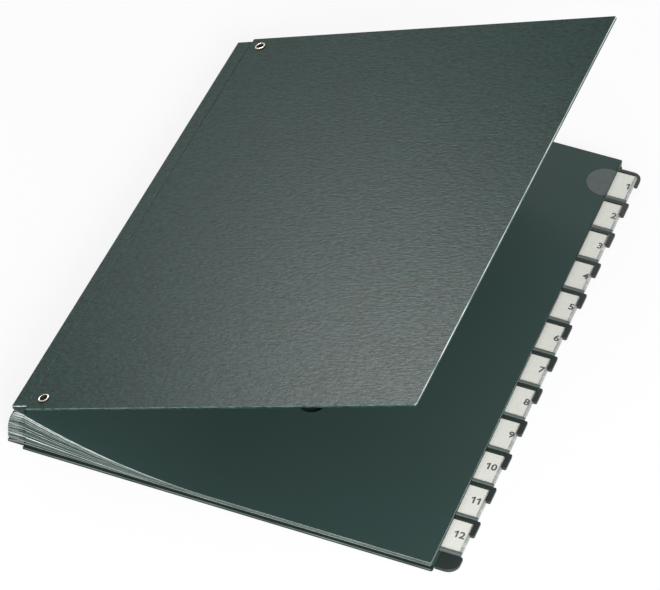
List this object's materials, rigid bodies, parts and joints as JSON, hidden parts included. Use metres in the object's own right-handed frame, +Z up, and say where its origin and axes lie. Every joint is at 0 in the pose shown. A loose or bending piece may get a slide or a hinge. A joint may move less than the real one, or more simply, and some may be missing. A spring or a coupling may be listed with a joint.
{
  "type": "monthly file sorter",
  "caption": "Desk file sorter like a large book: card leaves with numbered index tabs, a pleated spine and a hinged front cover held open.",
  "frame": {"origin": "centre of the sorter's plan, on the surface that it lies on", "axes": "+X from the spine to the fore edge with the tabs, +Y along the spine towards the first tab, +Z up"},
  "size_m": [0.2616, 0.3384, 0.1227],
  "materials": {
    "cover_board": "satin, finely embossed",
    "leaf_card": "smooth satin",
    "spine_card": "matt, folded",
    "tab_plastic": "satin moulded",
    "label_card": "matt",
    "clear_window": "clear film",
    "eyelet_metal": "bright",
    "spot_paper": "matt"
  },
  "bodies": {
    "root": {"back_cover_board": "cover_board", "back_hinge_strip": "cover_board", "pleated_spine": "spine_card", "back_eyelet_near": "eyelet_metal", "back_eyelet_far": "eyelet_metal", "end_leaf": "leaf_card", "leaf_01": "leaf_card", "leaf_02": "leaf_card", "leaf_03": "leaf_card", "leaf_04": "leaf_card", "leaf_05": "leaf_card", "leaf_06": "leaf_card", "leaf_07": "leaf_card", "leaf_08": "leaf_card", "leaf_09": "leaf_card", "leaf_10": "leaf_card", "leaf_11": "leaf_card", "leaf_12": "leaf_card", "round_spot": "spot_paper", "tab_holder_01": "tab_plastic", "tab_holder_02": "tab_plastic", "tab_holder_03": "tab_plastic", "tab_holder_04": "tab_plastic", "tab_holder_05": "tab_plastic", "tab_holder_06": "tab_plastic", "tab_holder_07": "tab_plastic", "tab_holder_08": "tab_plastic", "tab_holder_09": "tab_plastic", "tab_holder_10": "tab_plastic", "tab_holder_11": "tab_plastic", "tab_holder_12": "tab_plastic", "label_01": "label_card", "label_02": "label_card", "label_03": "label_card", "label_04": "label_card", "label_05": "label_card", "label_06": "label_card", "label_07": "label_card", "label_08": "label_card", "label_09": "label_card", "label_10": "label_card", "label_11": "label_card", "label_12": "label_card", "label_window_01": "clear_window", "label_window_02": "clear_window", "label_window_03": "clear_window", "label_window_04": "clear_window", "label_window_05": "clear_window", "label_window_06": "clear_window", "label_window_07": "clear_window", "label_window_08": "clear_window", "label_window_09": "clear_window", "label_window_10": "clear_window", "label_window_11": "clear_window", "label_window_12": "clear_window"},
    "front_cover": {"front_cover_board": "cover_board", "front_hinge_strip": "cover_board", "front_flange": "spine_card", "front_eyelet_near": "eyelet_metal", "front_eyelet_far": "eyelet_metal"}
  },
  "joints": [
    {"name": "front_cover_hinge", "type": "hinge", "parent": "root", "child": "front_cover", "pos_m": [-0.1263, -0.1692, 0.028], "axis": [0, -0.9992, 0.0388], "range_deg": [-24.1, 160.5]}
  ]
}
